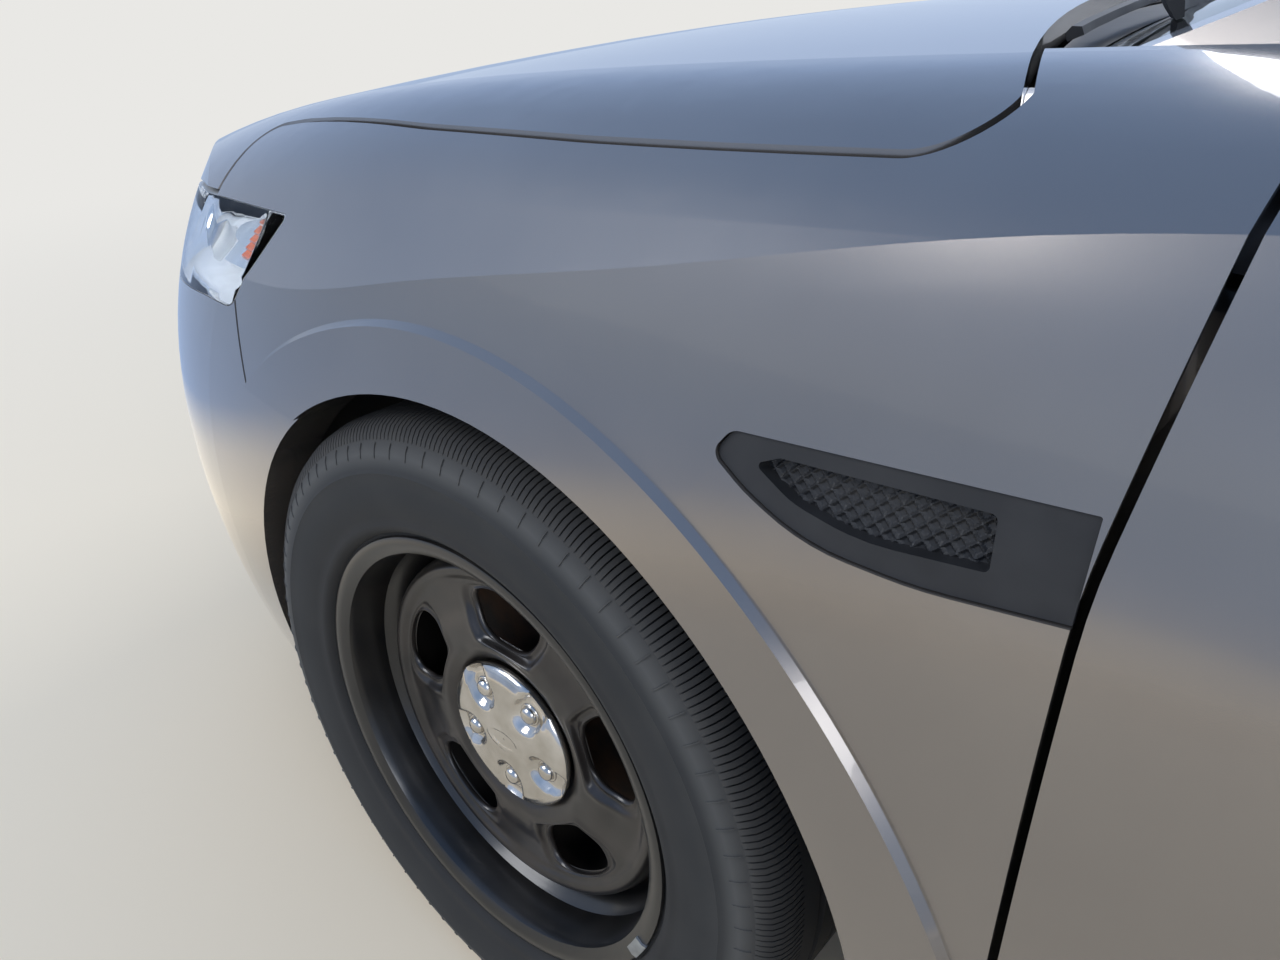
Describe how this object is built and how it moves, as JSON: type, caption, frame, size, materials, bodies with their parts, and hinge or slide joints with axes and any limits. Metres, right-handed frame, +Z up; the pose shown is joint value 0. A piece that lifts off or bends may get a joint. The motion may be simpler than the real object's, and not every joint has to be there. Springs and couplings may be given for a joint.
{
  "type": "police patrol car",
  "caption": "Full-size four-door police patrol saloon with opening doors, hood and boot lid, steering front wheels and rolling steel wheels with bright caps.",
  "frame": {"origin": "on the ground, midway along the car's length and on its centre line", "axes": "+X to the car's left side, +Y to the tail, +Z up"},
  "size_m": [2.24, 5.1553, 1.6459],
  "materials": {
    "body_paint": "gloss",
    "black_plastic": "matte",
    "window_glass": "gloss",
    "chassis_paint": "matte",
    "iron": "matte",
    "radiator_alloy": "satin",
    "exhaust_steel": "satin",
    "lamp_lens": "gloss",
    "red_lens": "gloss",
    "bar_lens": "gloss",
    "cabin_plastic": "matte",
    "seat_cloth": "matte",
    "tyre_rubber": "matte",
    "wheel_paint": "satin",
    "cap_steel": "gloss"
  },
  "bodies": {
    "car_body": {"floor_pan": "chassis_paint", "front_structure": "chassis_paint", "radiator": "radiator_alloy", "engine_block": "iron", "body_side_left": "body_paint", "body_side_right": "body_paint", "roof_panel": "body_paint", "windscreens": "window_glass", "parcel_shelf": "cabin_plastic", "rear_deck_panel": "body_paint", "fender_left": "body_paint", "fender_right": "body_paint", "fender_vents": "black_plastic", "cowl_panel": "black_plastic", "headlamps": "lamp_lens", "tail_lamps": "red_lens", "front_bumper": "body_paint", "rear_bumper": "body_paint", "grille": "black_plastic", "arch_liners": "black_plastic", "front_suspension": "chassis_paint", "rear_suspension": "chassis_paint", "exhaust": "exhaust_steel", "fuel_tank": "chassis_paint", "dashboard": "cabin_plastic", "front_seat_left": "seat_cloth", "front_seat_right": "seat_cloth", "rear_seat": "seat_cloth", "light_bar": "bar_lens"},
    "front_door_left": {"front_door_left": "body_paint", "front_door_glass_left": "window_glass", "mirror_left": "black_plastic"},
    "front_door_right": {"front_door_right": "body_paint", "front_door_glass_right": "window_glass", "mirror_right": "black_plastic"},
    "rear_door_left": {"rear_door_left": "body_paint", "rear_door_glass_left": "window_glass"},
    "rear_door_right": {"rear_door_right": "body_paint", "rear_door_glass_right": "window_glass"},
    "hood": {"hood": "body_paint"},
    "trunk_lid": {"trunk_lid": "body_paint"},
    "knuckle_left": {"knuckle_left": "iron"},
    "knuckle_right": {"knuckle_right": "iron"},
    "wheel_front_left": {"tyre_front_left": "tyre_rubber", "rim_front_left": "wheel_paint", "hub_cap_front_left": "cap_steel"},
    "wheel_front_right": {"tyre_front_right": "tyre_rubber", "rim_front_right": "wheel_paint", "hub_cap_front_right": "cap_steel"},
    "wheel_rear_left": {"tyre_rear_left": "tyre_rubber", "rim_rear_left": "wheel_paint", "hub_cap_rear_left": "cap_steel"},
    "wheel_rear_right": {"tyre_rear_right": "tyre_rubber", "rim_rear_right": "wheel_paint", "hub_cap_rear_right": "cap_steel"}
  },
  "joints": [
    {"name": "front_door_left_hinge", "type": "hinge", "parent": "car_body", "child": "front_door_left", "pos_m": [0.935, -0.932, 0.545], "axis": [0, 0, -1], "range_deg": [0, 65]},
    {"name": "front_door_right_hinge", "type": "hinge", "parent": "car_body", "child": "front_door_right", "pos_m": [-0.935, -0.932, 0.545], "axis": [0, 0, 1], "range_deg": [0, 65]},
    {"name": "rear_door_left_hinge", "type": "hinge", "parent": "car_body", "child": "rear_door_left", "pos_m": [0.935, 0.21, 0.545], "axis": [0, 0, -1], "range_deg": [0, 62]},
    {"name": "rear_door_right_hinge", "type": "hinge", "parent": "car_body", "child": "rear_door_right", "pos_m": [-0.935, 0.21, 0.545], "axis": [0, 0, 1], "range_deg": [0, 62]},
    {"name": "hood_hinge", "type": "hinge", "parent": "car_body", "child": "hood", "pos_m": [0, -1.1, 1.035], "axis": [-1, 0, 0], "range_deg": [0, 50]},
    {"name": "trunk_lid_hinge", "type": "hinge", "parent": "car_body", "child": "trunk_lid", "pos_m": [0, 1.655, 1.138], "axis": [1, 0, 0], "range_deg": [0, 70]},
    {"name": "steer_left", "type": "hinge", "parent": "car_body", "child": "knuckle_left", "pos_m": [0.775, -1.537, 0.205], "axis": [-0.262, 0, 0.9651], "range_deg": [-28, 28]},
    {"name": "steer_right", "type": "hinge", "parent": "car_body", "child": "knuckle_right", "pos_m": [-0.775, -1.537, 0.205], "axis": [0.262, 0, 0.9651], "range_deg": [-28, 28]},
    {"name": "roll_front_left", "type": "hinge", "parent": "knuckle_left", "child": "wheel_front_left", "pos_m": [0.8305, -1.537, 0.363], "axis": [1, 0, 0], "continuous": true},
    {"name": "roll_front_right", "type": "hinge", "parent": "knuckle_right", "child": "wheel_front_right", "pos_m": [-0.8305, -1.537, 0.363], "axis": [1, 0, 0], "continuous": true},
    {"name": "roll_rear_left", "type": "hinge", "parent": "car_body", "child": "wheel_rear_left", "pos_m": [0.8305, 1.331, 0.363], "axis": [1, 0, 0], "continuous": true},
    {"name": "roll_rear_right", "type": "hinge", "parent": "car_body", "child": "wheel_rear_right", "pos_m": [-0.8305, 1.331, 0.363], "axis": [1, 0, 0], "continuous": true}
  ],
  "couplings": [
    {"joint": "steer_right", "follows": "steer_left", "ratio": 1}
  ]
}
